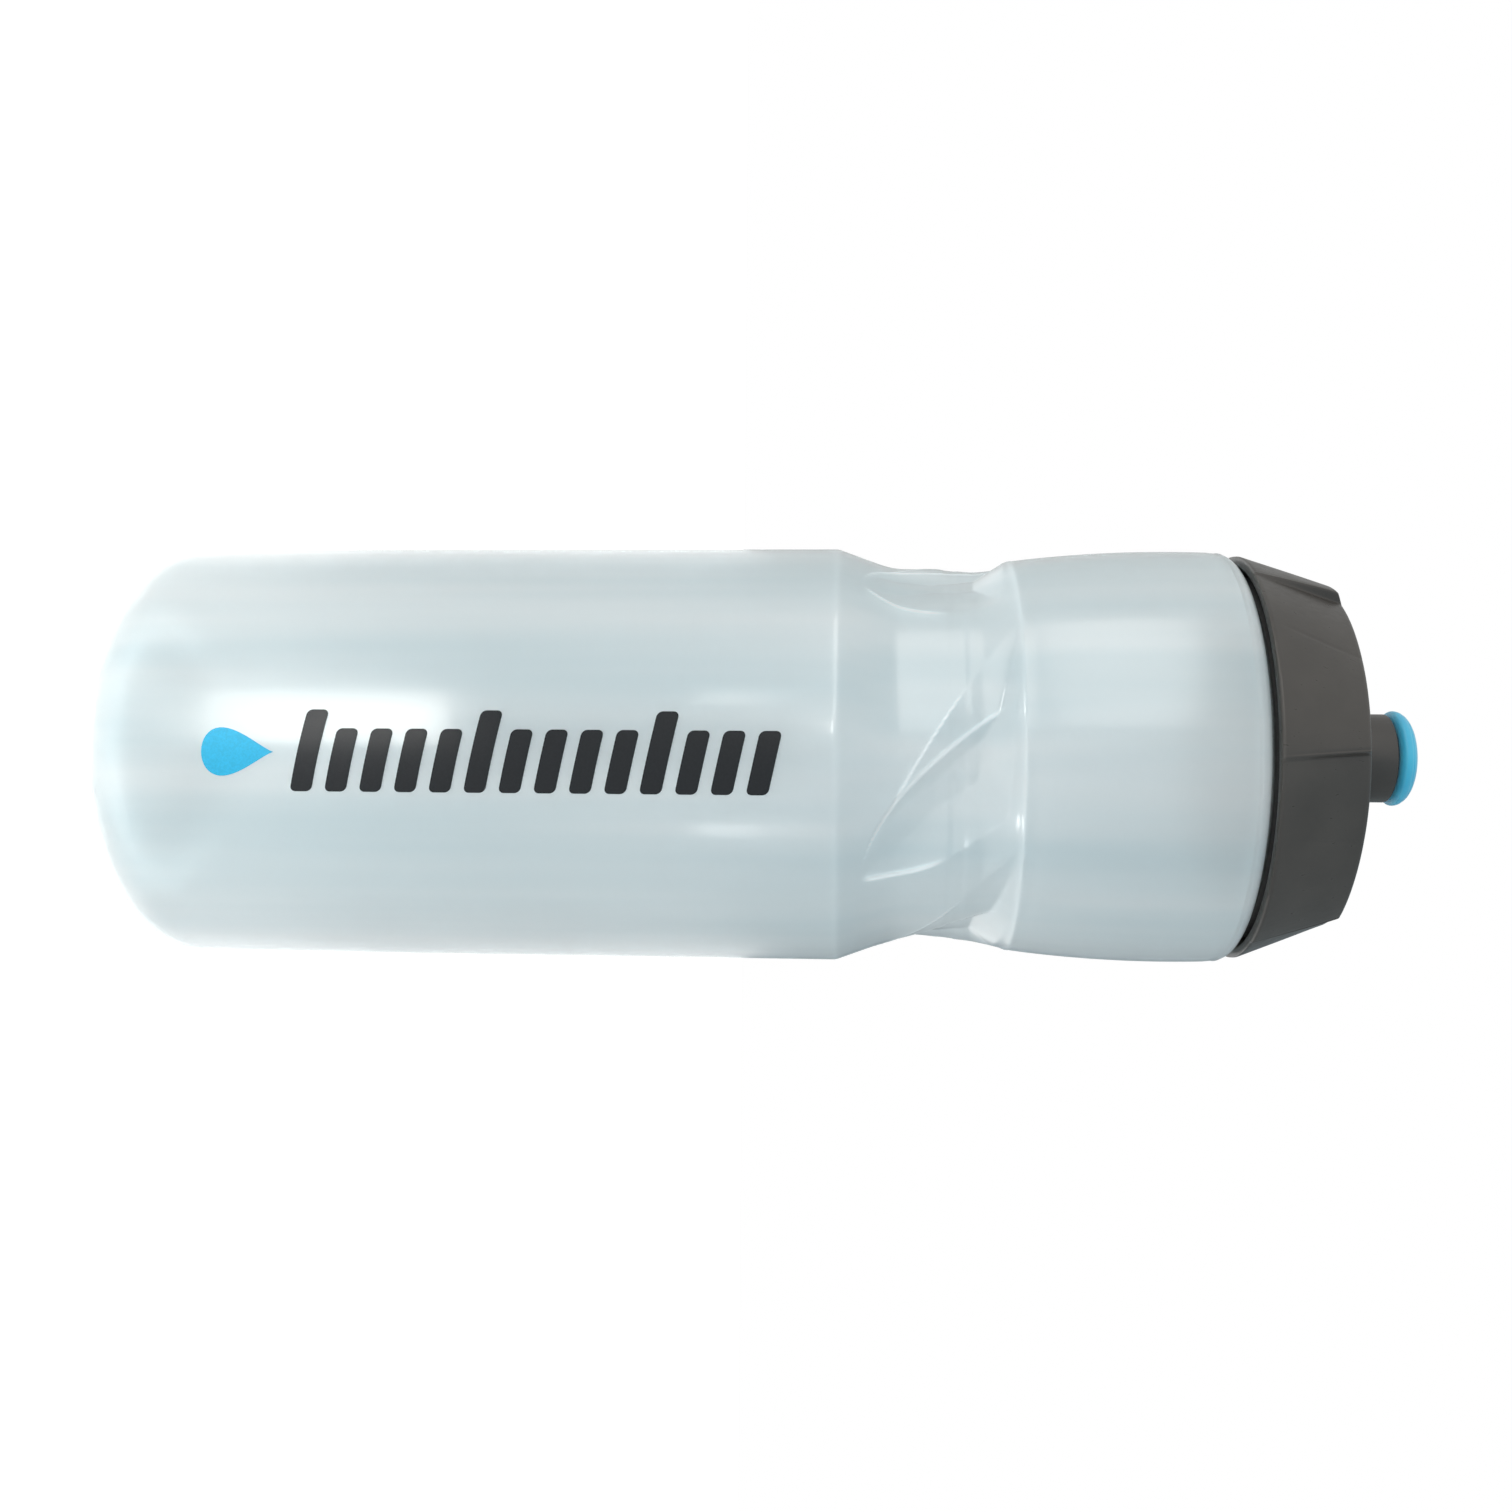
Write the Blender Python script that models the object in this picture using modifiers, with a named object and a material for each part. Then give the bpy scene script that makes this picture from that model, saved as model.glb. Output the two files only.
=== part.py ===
"""A squeeze bottle for a bicycle's bottle cage: body, screw cap, seal ring and push-pull valve.

Metres, +Z up. The bottle stands on its foot, with its axis on Z and the origin at the centre of the foot.
A bearing is an angle round the axis, in degrees from the front (-Y) towards -X.
"""

import math

import bmesh
import bpy

MM = 0.001

# Driving dimensions
BODY_RADIUS = 36.5 * MM  # a bottle cage holds 73 to 74 mm
BODY_WALL = 1.2 * MM
FOOT_RADIUS = 25 * MM
FOOT_CORNER_HEIGHT = 10.5 * MM
WAIST_RADIUS = 33 * MM
WAIST_Z = (124 * MM, 133.5 * MM, 147 * MM, 154 * MM)  # top of barrel, start and end of waist, foot of bulge
BULGE_RADIUS = 36 * MM
BULGE_Z = 180 * MM
SHOULDER_Z = 191.6 * MM
NECK_RADIUS = 27.4 * MM
NECK_TOP_Z = 205.2 * MM
THREAD_PITCH = 4.5 * MM
THREAD_START_Z = 196.2 * MM
THREAD_TURNS = 1.1
CAP_BASE_Z = 192.4 * MM
CAP_RIM_Z = 207.9 * MM
CAP_BASE_RADIUS = 35.3 * MM
CAP_RIM_RADIUS = 29.3 * MM
CAP_PANELS = 6
CAP_ROOF_UNDERSIDE_Z = 207 * MM  # over the neck's rim; the roof is a low cone inside that
CAP_TOP_Z = 211 * MM
SPOUT_RADIUS = 6 * MM
SPOUT_BORE = 4.7 * MM
SPOUT_TOP_Z = 218 * MM
STEM_RADIUS = 7.75 * MM
STEM_SHOULDER_Z = 219.8 * MM
STEM_CORE_RADIUS = 6.1 * MM  # the core that the mouthpiece is pushed on
STEM_TOP_Z = 222.1 * MM
MOUTHPIECE_RADIUS = 8.3 * MM
OVERALL_HEIGHT = 223.6 * MM

GAP = 0.3 * MM  # clearance between two pieces that touch
FIT = 0.35 * MM  # clearance between two pieces that slide
ROUND_STEPS = 40
SMALL_STEPS = 28
SHARP_ANGLE = math.radians(32)

# Grip dimples: bearing of each tip, and how far the dimple leans, in degrees a millimetre
DIMPLES = [(53.6, -0.95), (-34.7, 0), (-100, 0), (-165, -0.3), (125, -0.6)]
DIMPLE_TIP_Z = 128 * MM
DIMPLE_LENGTH = 22 * MM
DIMPLE_DEPTH = 1.9 * MM


def clear_scene():
    for obj in list(bpy.data.objects):
        bpy.data.objects.remove(obj, do_unlink=True)


def new_collection(name):
    group = bpy.data.collections.new(name)
    bpy.context.scene.collection.children.link(group)
    return group


def material(name, colour, roughness, transmission=0.0):
    made = bpy.data.materials.new(name)
    made.use_nodes = True
    shader = made.node_tree.nodes["Principled BSDF"]
    shader.inputs["Base Color"].default_value = (*colour, 1)
    shader.inputs["Roughness"].default_value = roughness
    shader.inputs["Metallic"].default_value = 0
    shader.inputs["Transmission Weight"].default_value = transmission
    return made


def new_object(name, mesh, group, look=None):
    obj = bpy.data.objects.new(name, mesh)
    group.objects.link(obj)
    if look:
        mesh.materials.append(look)
    return obj


def make_cutter(obj):
    obj.hide_render = True
    obj.display_type = "WIRE"


def ellipse_arc(centre, radii, start_deg, end_deg, steps):
    """Points (radius, z) of an elliptical arc. 0 degrees points outwards and 90 up."""
    points = []
    for step in range(steps + 1):
        angle = math.radians(start_deg + (end_deg - start_deg) * step / steps)
        points.append((centre[0] + radii[0] * math.cos(angle), centre[1] + radii[1] * math.sin(angle)))
    return points


def turned(name, profile, group, look=None, closed=False, steps=ROUND_STEPS):
    """A profile of (radius, z) points, down its outer side, turned round the Z axis by a Screw modifier."""
    mesh = bpy.data.meshes.new(name)
    edges = [(i, i + 1) for i in range(len(profile) - 1)]
    if closed:
        edges.append((len(profile) - 1, 0))
    mesh.from_pydata([(radius, 0, z) for radius, z in profile], edges, [])
    obj = new_object(name, mesh, group, look)
    screw = obj.modifiers.new("turn", "SCREW")
    screw.angle = math.tau
    screw.steps = steps
    screw.render_steps = steps
    screw.use_merge_vertices = True
    screw.merge_threshold = 0.01 * MM
    screw.use_smooth_shade = True
    return obj


def realise(obj):
    """Replaces the object's mesh with the result of its modifiers."""
    graph = bpy.context.evaluated_depsgraph_get()
    mesh = bpy.data.meshes.new_from_object(obj.evaluated_get(graph))
    obj.modifiers.clear()
    obj.data = mesh
    return mesh


def boolean(obj, other, operation):
    step = obj.modifiers.new(other.name, "BOOLEAN")
    step.operation = operation
    step.solver = "EXACT"
    step.object = other
    make_cutter(other)


def smooth(obj):
    obj.data.shade_smooth()
    obj.data.set_sharp_from_angle(angle=SHARP_ANGLE)


def loft(name, sections, group, look=None):
    """A closed solid through rings of equal count, from the bottom up and anticlockwise from above."""
    mesh = bpy.data.meshes.new(name)
    build = bmesh.new()
    rings = [[build.verts.new(point) for point in section] for section in sections]
    count = len(rings[0])
    for lower, upper in zip(rings, rings[1:]):
        for i in range(count):
            j = (i + 1) % count
            build.faces.new((lower[i], lower[j], upper[j], upper[i]))
    build.faces.new(rings[0][::-1])
    build.faces.new(rings[-1])
    build.to_mesh(mesh)
    build.free()
    return new_object(name, mesh, group, look)


def thread_ridge(name, root_radius, crest_radius, start_z, group):
    """One helical ridge of four-sided section, whose height runs out to nothing over its two ends."""
    root_half = 1.1 * MM
    crest_half = 0.5 * MM
    run_out = 0.12
    turns = THREAD_TURNS
    steps = round(turns * ROUND_STEPS)
    sections = []
    for step in range(steps + 1):
        turn = step / ROUND_STEPS
        rise = min(1, turn / run_out, (turns - turn) / run_out)
        crest = root_radius + (crest_radius - root_radius) * max(rise, 0.1)
        z = start_z + THREAD_PITCH * turn
        corners = [
            (root_radius, z - root_half),
            (crest, z - crest_half),
            (crest, z + crest_half),
            (root_radius, z + root_half),
        ]
        if crest_radius > root_radius:
            corners.reverse()
        angle = math.tau * turn
        sections.append([(r * math.cos(angle), r * math.sin(angle), height) for r, height in corners])
    return loft(name, sections, group)


def bearing_of(x, y):
    return math.degrees(math.atan2(-x, -y))


def at_bearing(degrees, radius, z):
    angle = math.radians(degrees)
    return (-radius * math.sin(angle), -radius * math.cos(angle), z)


def dimple_depth(bearing, z):
    """How far the grip dimples push the waist in at a place. Each runs up and round from a pointed tip."""
    deepest = 0
    rise = (z - DIMPLE_TIP_Z) / MM
    length = DIMPLE_LENGTH / MM
    if rise <= 0:
        return 0
    for tip, lean in DIMPLES:
        side = (bearing - tip - lean * rise + 180) % 360 - 180
        upper_edge = 5.2 * rise - 0.13 * rise**2
        lower_edge = -0.35 * rise + 0.05 * rise**2
        from_upper = 0.27 * (upper_edge - side)
        from_lower = 0.11 * (side - lower_edge)
        from_end = 0.4 * (length + 0.05 * side - rise)
        from_tip = 0.16 * rise
        depth = min(from_upper, from_lower, from_end, from_tip, DIMPLE_DEPTH / MM)
        deepest = max(deepest, depth)
    return deepest * MM


def body_profile():
    """The body's outside, from the mouth down the outer side to the middle of the foot."""
    barrel_top, waist_start, waist_end, bulge_foot = WAIST_Z
    bulge_foot_radius = 34.4 * MM
    profile = [(NECK_RADIUS, NECK_TOP_Z), (NECK_RADIUS, SHOULDER_Z + 1.6 * MM)]
    profile += [(NECK_RADIUS + 0.5 * MM, SHOULDER_Z + 0.5 * MM), (NECK_RADIUS + 1.6 * MM, SHOULDER_Z)]
    profile += [(33.2 * MM, SHOULDER_Z - 0.2 * MM)]
    profile += ellipse_arc((33.5 * MM, SHOULDER_Z - 2.8 * MM), (2.25 * MM, 2.5 * MM), 65, 5, 4)
    drop = (BULGE_RADIUS - bulge_foot_radius) / (BULGE_Z - bulge_foot) ** 2
    for z in (185 * MM, BULGE_Z, 172 * MM, 164 * MM, 158 * MM, bulge_foot):
        profile.append((BULGE_RADIUS - drop * (z - BULGE_Z) ** 2, z))
    flare = bulge_foot_radius - WAIST_RADIUS
    profile += [(WAIST_RADIUS + 0.72 * flare, 152.4 * MM), (WAIST_RADIUS + 0.22 * flare, 150 * MM)]
    profile += [(WAIST_RADIUS, z * MM) for z in (147, 144.5, 142, 139.5, 137, 134.5)]
    slope = (BODY_RADIUS - WAIST_RADIUS) / (waist_start - barrel_top)
    for z in (132.5 * MM, 130.3 * MM, 128 * MM, 126 * MM):
        profile.append((BODY_RADIUS - slope * (z - barrel_top), z))
    profile += [(BODY_RADIUS - 0.15 * MM, barrel_top + 0.6 * MM), (BODY_RADIUS, barrel_top - 1 * MM)]
    corner = (BODY_RADIUS - FOOT_RADIUS, FOOT_CORNER_HEIGHT)
    profile += ellipse_arc((FOOT_RADIUS, FOOT_CORNER_HEIGHT), corner, 0, -90, 6)
    profile += [(21 * MM, 0), (19.5 * MM, 0.9 * MM), (17.8 * MM, 2.6 * MM)]
    profile += [(10 * MM, 4 * MM), (0, 4.5 * MM)]
    return profile


def make_body(parts, cutters):
    look = material("frosted_ldpe", (0.80, 0.85, 0.86), 0.35, 0.6)
    thread_root = NECK_RADIUS - 0.5 * MM
    thread_crest = NECK_RADIUS + 1.7 * MM
    body = turned("bottle_body", body_profile(), parts, look)
    mesh = realise(body)
    for vertex in mesh.vertices:
        x, y, z = vertex.co
        if WAIST_Z[0] < z < WAIST_Z[3]:
            radius = math.hypot(x, y)
            scale = 1 - dimple_depth(bearing_of(x, y), z) / radius
            vertex.co = (x * scale, y * scale, z)
    shell = body.modifiers.new("wall", "SOLIDIFY")
    shell.thickness = BODY_WALL
    shell.offset = -1
    shell.use_even_offset = True
    ridge = thread_ridge("neck_thread", thread_root, thread_crest, THREAD_START_Z, cutters)
    boolean(body, ridge, "UNION")
    smooth(body)
    return body


def panel_radius(share, height):
    """The cap's radius at a share (0 to 1) of the way round a panel and a height from base (0) to rim (1)."""
    crease = 0.68 - 0.11 * height
    proud = 1.9 * MM * height * max(0, 1 - share / crease)
    return CAP_BASE_RADIUS + (CAP_RIM_RADIUS - CAP_BASE_RADIUS) * height + proud


def cap_section(height, inset=0.0, lift=0.0):
    """One ring of points round the cap's six overlapping panels."""
    shares = (0, 0.15, 0.3, 0.45, 0.6, 0.78, 0.965)
    panel = 360 / CAP_PANELS
    first_ridge = 0.8 + 2 * height
    drop_per_radius = 0.34
    points = []
    for i in range(CAP_PANELS):
        for share in shares:
            radius = panel_radius(share, height)
            z = CAP_BASE_Z + (CAP_RIM_Z - CAP_BASE_Z) * height
            z -= drop_per_radius * (radius - CAP_RIM_RADIUS) * height**6
            points.append(at_bearing(first_ridge + panel * (i + share), radius - inset, z + lift))
    return points[::-1]


def cap_outside(parts, look):
    top_radius = 12 * MM
    sections = [cap_section(0, 0.6 * MM), cap_section(0.04)]
    sections += [cap_section(height) for height in (0.3, 0.55, 0.8, 0.96)]
    sections += [cap_section(1, 0.5 * MM, 0.1 * MM)]
    count = len(sections[0])
    top = []
    for i in range(count):
        x, y, _ = sections[-1][i]
        scale = top_radius / math.hypot(x, y)
        top.append((x * scale, y * scale, CAP_TOP_Z))
    sections.append(top)
    return loft("cap_shell", sections, parts, look)


def make_spout(cutters):
    """The tube that the nozzle slides on, with a bead round its top that holds the nozzle's lip."""
    bead = SPOUT_RADIUS + 0.6 * MM
    foot = CAP_TOP_Z - 1 * MM
    profile = [
        (0, SPOUT_TOP_Z),
        (SPOUT_RADIUS, SPOUT_TOP_Z),
        (bead, SPOUT_TOP_Z - 0.5 * MM),
        (bead, SPOUT_TOP_Z - 0.9 * MM),
        (SPOUT_RADIUS, SPOUT_TOP_Z - 1.3 * MM),
        (SPOUT_RADIUS, foot),
        (0, foot),
    ]
    return turned("spout", profile, cutters, steps=SMALL_STEPS)


def make_cavity(radius, cutters):
    """The space inside the cap: the skirt with its thread, the seal ring's seat, the roof and the bore."""
    seat_radius = 28 * MM
    cone_outer = 24 * MM
    cone_inner = 12 * MM
    cone_top = CAP_ROOF_UNDERSIDE_Z + 2.4 * MM
    past_spout = SPOUT_TOP_Z + 1 * MM
    past_base = CAP_BASE_Z - 1 * MM
    profile = [
        (0, past_spout),
        (SPOUT_BORE, past_spout),
        (SPOUT_BORE, cone_top),
        (cone_inner, cone_top),
        (cone_outer, CAP_ROOF_UNDERSIDE_Z),
        (seat_radius, CAP_ROOF_UNDERSIDE_Z),
        (seat_radius, CAP_ROOF_UNDERSIDE_Z - 2 * MM),
        (radius, CAP_ROOF_UNDERSIDE_Z - 4.2 * MM),
        (radius, past_base),
        (0, past_base),
    ]
    return turned("cap_cavity", profile, cutters)


def make_skirt_slot(cutters):
    """A groove up into the skirt, which leaves its inner and outer walls thin."""
    past_base = CAP_BASE_Z - 1 * MM
    profile = [(31.6 * MM, 198 * MM), (33.6 * MM, past_base), (31.3 * MM, past_base)]
    return turned("skirt_slot", profile, cutters, closed=True)


def make_cap(parts, cutters):
    look = material("charcoal_polypropylene", (0.075, 0.070, 0.066), 0.45)
    cavity_radius = NECK_RADIUS + 2.2 * MM
    thread_root = cavity_radius + 0.5 * MM
    thread_crest = cavity_radius - 1.7 * MM
    thread_start = THREAD_START_Z - THREAD_PITCH / 2
    cap = cap_outside(parts, look)
    boolean(cap, make_spout(cutters), "UNION")
    boolean(cap, make_cavity(cavity_radius, cutters), "DIFFERENCE")
    boolean(cap, make_skirt_slot(cutters), "DIFFERENCE")
    ridge = thread_ridge("cap_thread", thread_root, thread_crest, thread_start, cutters)
    boolean(cap, ridge, "UNION")
    smooth(cap)
    return cap


def make_seal_ring(parts):
    look = material("seal_silicone", (0.72, 0.74, 0.74), 0.6)
    outer = 27.5 * MM
    inner = 24.6 * MM
    bottom = NECK_TOP_Z + GAP
    top = CAP_ROOF_UNDERSIDE_Z - GAP
    profile = [(outer, top), (outer, bottom), (inner, bottom), (inner, top)]
    ring = turned("cap_seal_ring", profile, parts, look, closed=True)
    smooth(ring)
    return ring


def make_spoke(name, bearing, start, end, z, cutters):
    """A flat bar from one radius to another."""
    width = 0.9 * MM
    height = 2.4 * MM
    mesh = bpy.data.meshes.new(name)
    build = bmesh.new()
    bmesh.ops.create_cube(build, size=1)
    bmesh.ops.scale(build, vec=(width, end - start, height), verts=build.verts)
    build.to_mesh(mesh)
    build.free()
    spoke = new_object(name, mesh, cutters)
    spoke.location = at_bearing(bearing, (start + end) / 2, z)
    spoke.rotation_euler = (0, 0, -math.radians(bearing))
    return spoke


def make_plug(parts, cutters):
    """The fixed plug that closes the mouthpiece: a pin on three spokes in a ring that sits in the spout."""
    look = material("natural_polypropylene", (0.62, 0.63, 0.62), 0.4)
    outer = SPOUT_BORE - GAP
    inner = outer - 0.9 * MM
    pin_radius = 1.5 * MM
    tip_radius = 2.2 * MM
    bottom = 210 * MM
    top = 213 * MM
    ring_profile = [(outer, top), (outer, bottom), (inner, bottom), (inner, top)]
    plug = turned("valve_plug", ring_profile, parts, look, closed=True, steps=SMALL_STEPS)
    pin_top = OVERALL_HEIGHT - 0.7 * MM
    pin_profile = [
        (0, pin_top),
        (tip_radius - 0.6 * MM, pin_top),
        (tip_radius, pin_top - 0.6 * MM),
        (tip_radius, pin_top - 1.8 * MM),
        (pin_radius, pin_top - 3 * MM),
        (pin_radius, bottom),
        (0, bottom),
    ]
    boolean(plug, turned("plug_pin", pin_profile, cutters, steps=SMALL_STEPS), "UNION")
    hub = 1 * MM
    middle = bottom + 1.5 * MM
    for i in range(3):
        spoke = make_spoke(f"plug_spoke_{i + 1}", 20 + 120 * i, hub, inner + 0.4 * MM, middle, cutters)
        boolean(plug, spoke, "UNION")
    smooth(plug)
    return plug


def make_stem(parts):
    """The rigid part of the nozzle, which slides on the spout. A lip at its lower end keeps it there."""
    look = material("charcoal_stem", (0.070, 0.067, 0.065), 0.4)
    bottom = CAP_TOP_Z + FIT
    bore_top = SPOUT_TOP_Z + 0.4 * MM
    bore = SPOUT_RADIUS + 0.9 * MM
    lip = SPOUT_RADIUS + FIT
    hole = 3.4 * MM
    profile = [
        (hole, STEM_TOP_Z),
        (STEM_CORE_RADIUS, STEM_TOP_Z),
        (STEM_CORE_RADIUS, STEM_SHOULDER_Z),
        (STEM_RADIUS - 0.3 * MM, STEM_SHOULDER_Z),
        (STEM_RADIUS, STEM_SHOULDER_Z - 0.3 * MM),
        (STEM_RADIUS, bottom + 0.4 * MM),
        (STEM_RADIUS - 0.4 * MM, bottom),
        (lip, bottom),
        (lip, bottom + 0.5 * MM),
        (bore, bottom + 0.9 * MM),
        (bore, bore_top),
        (hole, bore_top),
    ]
    stem = turned("valve_stem", profile, parts, look, closed=True, steps=SMALL_STEPS)
    smooth(stem)
    return stem


def make_mouthpiece(parts):
    """The soft tip on the stem. Its small hole closes on the plug when the nozzle is pushed down."""
    look = material("soft_blue_elastomer", (0.10, 0.50, 0.72), 0.35)
    bottom = STEM_SHOULDER_Z + GAP
    inner = STEM_CORE_RADIUS + GAP
    hole = 2.55 * MM
    under = STEM_TOP_Z + GAP
    widest_z = OVERALL_HEIGHT - 2.5 * MM
    round_over = 3.2 * MM
    centre = (MOUTHPIECE_RADIUS - round_over, widest_z)
    profile = [(hole, OVERALL_HEIGHT - 0.9 * MM), (hole + 0.7 * MM, OVERALL_HEIGHT - 0.15 * MM)]
    profile += ellipse_arc(centre, (round_over, OVERALL_HEIGHT - widest_z), 90, 0, 6)
    profile += [(MOUTHPIECE_RADIUS - 0.4 * MM, widest_z - 0.9 * MM), (MOUTHPIECE_RADIUS - 1.1 * MM, bottom)]
    profile += [(inner, bottom), (inner, under), (hole, under)]
    tip = turned("mouthpiece", profile, parts, look, closed=True, steps=SMALL_STEPS)
    smooth(tip)
    return tip


def main():
    clear_scene()
    parts = new_collection("squeeze_bottle")
    cutters = new_collection("cutters")
    make_body(parts, cutters)
    make_seal_ring(parts)
    cap = make_cap(parts, cutters)
    plug = make_plug(parts, cutters)
    nozzle = bpy.data.objects.new("nozzle_slide", None)
    parts.objects.link(nozzle)
    nozzle.parent = cap
    plug.parent = cap
    make_stem(parts).parent = nozzle
    make_mouthpiece(parts).parent = nozzle


main()
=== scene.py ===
"""A squeeze bottle for a bicycle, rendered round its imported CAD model.

Metres, +Z up, the bottle standing on Z = 0. The main camera is turned on its side, so the bottle lies across
the picture with its nozzle to the right. A bearing is an angle round the axis in degrees, from the front (-Y)
towards -X, which is up in that picture.
"""
import math

import bmesh
import bpy
from mathutils import Matrix, Vector


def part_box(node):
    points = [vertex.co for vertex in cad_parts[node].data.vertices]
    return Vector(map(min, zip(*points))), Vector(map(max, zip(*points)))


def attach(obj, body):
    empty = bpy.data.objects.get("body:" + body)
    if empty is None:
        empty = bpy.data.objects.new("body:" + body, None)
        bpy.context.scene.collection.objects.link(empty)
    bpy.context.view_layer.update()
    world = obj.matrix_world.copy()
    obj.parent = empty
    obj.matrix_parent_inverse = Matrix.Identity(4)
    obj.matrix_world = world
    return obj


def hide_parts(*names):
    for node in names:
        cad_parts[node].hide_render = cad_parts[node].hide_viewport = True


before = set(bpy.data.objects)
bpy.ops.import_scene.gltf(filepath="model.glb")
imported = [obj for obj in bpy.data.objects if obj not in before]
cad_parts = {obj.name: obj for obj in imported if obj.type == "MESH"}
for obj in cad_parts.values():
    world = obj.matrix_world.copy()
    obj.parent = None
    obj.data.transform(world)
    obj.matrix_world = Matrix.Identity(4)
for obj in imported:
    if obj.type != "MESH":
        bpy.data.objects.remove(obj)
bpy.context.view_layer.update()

MM = 0.001

# Sizes taken from the frame
BODY_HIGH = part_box("bottle_body")[1]
CAP_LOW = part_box("cap_shell")[0]
SEAL_LOW, SEAL_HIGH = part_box("cap_seal_ring")
STEM_LOW, STEM_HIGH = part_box("valve_stem")
TIP_LOW, TIP_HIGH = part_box("mouthpiece")
PLUG_LOW, PLUG_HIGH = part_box("valve_plug")
BODY_RADIUS = BODY_HIGH.x
NECK_TOP = BODY_HIGH.z
STEM_RADIUS = STEM_HIGH.x
TIP_RADIUS = TIP_HIGH.x

# Shape of the body, as in the CAD model
WALL = 1.2 * MM
FOOT_RADIUS = 25 * MM
FOOT_CORNER = 10.5 * MM
WAIST_RADIUS = 33 * MM
BARREL_TOP, WAIST_START, WAIST_END, BULGE_FOOT = (z * MM for z in (124, 133.5, 147, 154))
WAIST_BAND = (141.8 * MM, 145.2 * MM)
BULGE_RADIUS = 36 * MM
BULGE_FOOT_RADIUS = 34.4 * MM
BULGE_Z = 180 * MM
SHOULDER_Z = 191.6 * MM
NECK_RADIUS = 27.4 * MM
THREAD_PITCH = 4.5 * MM
THREAD_START = 196.2 * MM
THREAD_TURNS = 1.1
THREAD_HEIGHT = 1.7 * MM
DIMPLES = [(53.6, -0.95), (-34.7, 0), (-100, 0), (-165, -0.3), (125, -0.6)]
DIMPLE_TIP = 128.0
DIMPLE_LENGTH = 22.0
DIMPLE_DEPTH = 1.9

# Shape of the cap, as in the CAD model
CAP_BASE = CAP_LOW.z
CAP_RIM = 207.9 * MM
CAP_BASE_RADIUS = 35.3 * MM
CAP_RIM_RADIUS = 29.3 * MM
PANELS = 6
CAVITY_RADIUS = NECK_RADIUS + 2.2 * MM
SPOUT_RADIUS = 6 * MM
SPOUT_TOP = 218 * MM
CAP_TOP = 211 * MM
CAP_ROOF = 207 * MM

# Points in each ring of the body
AROUND = 480
PRINT_LIFT = 0.05 * MM
PRINT_THICKNESS = 0.03 * MM


# ---------------------------------------------------------------- shapes

def at_bearing(degrees, radius, z):
    angle = math.radians(degrees)
    return (-radius * math.sin(angle), -radius * math.cos(angle), z)


def arc(centre, radii, start, end, steps):
    """Points (radius, z) of an elliptical arc: 0 degrees is outwards, 90 is up."""
    angles = [math.radians(start + (end - start) * i / steps) for i in range(steps + 1)]
    return [(centre[0] + radii[0] * math.cos(a), centre[1] + radii[1] * math.sin(a)) for a in angles]


def smooth_step(t):
    t = min(1, max(0, t))
    return t * t * (3 - 2 * t)


def bell(off, width):
    """1 at the middle of a line, falling smoothly to nothing beyond its width."""
    return math.exp(-((off / width) ** 2))


def soft_min(values, rounding):
    """The least of the values, with the creases between them rounded."""
    low = min(values)
    return low - rounding * math.log(sum(math.exp((low - v) / rounding) for v in values))


def soft_max(a, b, rounding):
    return -soft_min([-a, -b], rounding)


def rounded(points, radius, steps=4):
    """The same open outline with each inner corner replaced by a small arc."""
    out = [points[0]]
    for before, corner, after in zip(points, points[1:], points[2:]):
        c = Vector(corner)
        to_before, to_after = Vector(before) - c, Vector(after) - c
        cut = min(radius, 0.45 * to_before.length, 0.45 * to_after.length)
        start, end = c + to_before.normalized() * cut, c + to_after.normalized() * cut
        for i in range(steps + 1):
            t = i / steps
            out.append(tuple((1 - t) ** 2 * start + 2 * t * (1 - t) * c + t * t * end))
    out.append(points[-1])
    return out


def grid_mesh(name, rings, closed_path=False, pole_end=False):
    """Quads through rings of points. pole_end adds a centre point to close the last ring."""
    mesh = bpy.data.meshes.new(name)
    count = len(rings[0])
    points = [p for ring in rings for p in ring]
    faces = []
    pairs = list(zip(range(len(rings) - 1), range(1, len(rings))))
    if closed_path:
        pairs.append((len(rings) - 1, 0))
    for a, b in pairs:
        for i in range(count):
            j = (i + 1) % count
            faces.append((a * count + i, b * count + i, b * count + j, a * count + j))
    if pole_end:
        points.append((0, 0, rings[-1][0][2]))
        last = (len(rings) - 1) * count
        faces += [(last + i, len(points) - 1, last + (i + 1) % count) for i in range(count)]
    mesh.from_pydata(points, [], faces)
    build = bmesh.new()
    build.from_mesh(mesh)
    bmesh.ops.recalc_face_normals(build, faces=build.faces)
    build.to_mesh(mesh)
    build.free()
    mesh.shade_smooth()
    obj = bpy.data.objects.new(name, mesh)
    bpy.context.scene.collection.objects.link(obj)
    return obj


def turned(name, profile, steps=160):
    """A closed profile of (radius, z) points turned round the Z axis."""
    rings = [[at_bearing(-360 * i / steps, r, z) for i in range(steps)] for r, z in profile]
    return grid_mesh(name, rings, closed_path=True)


# ---------------------------------------------------------------- body

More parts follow.
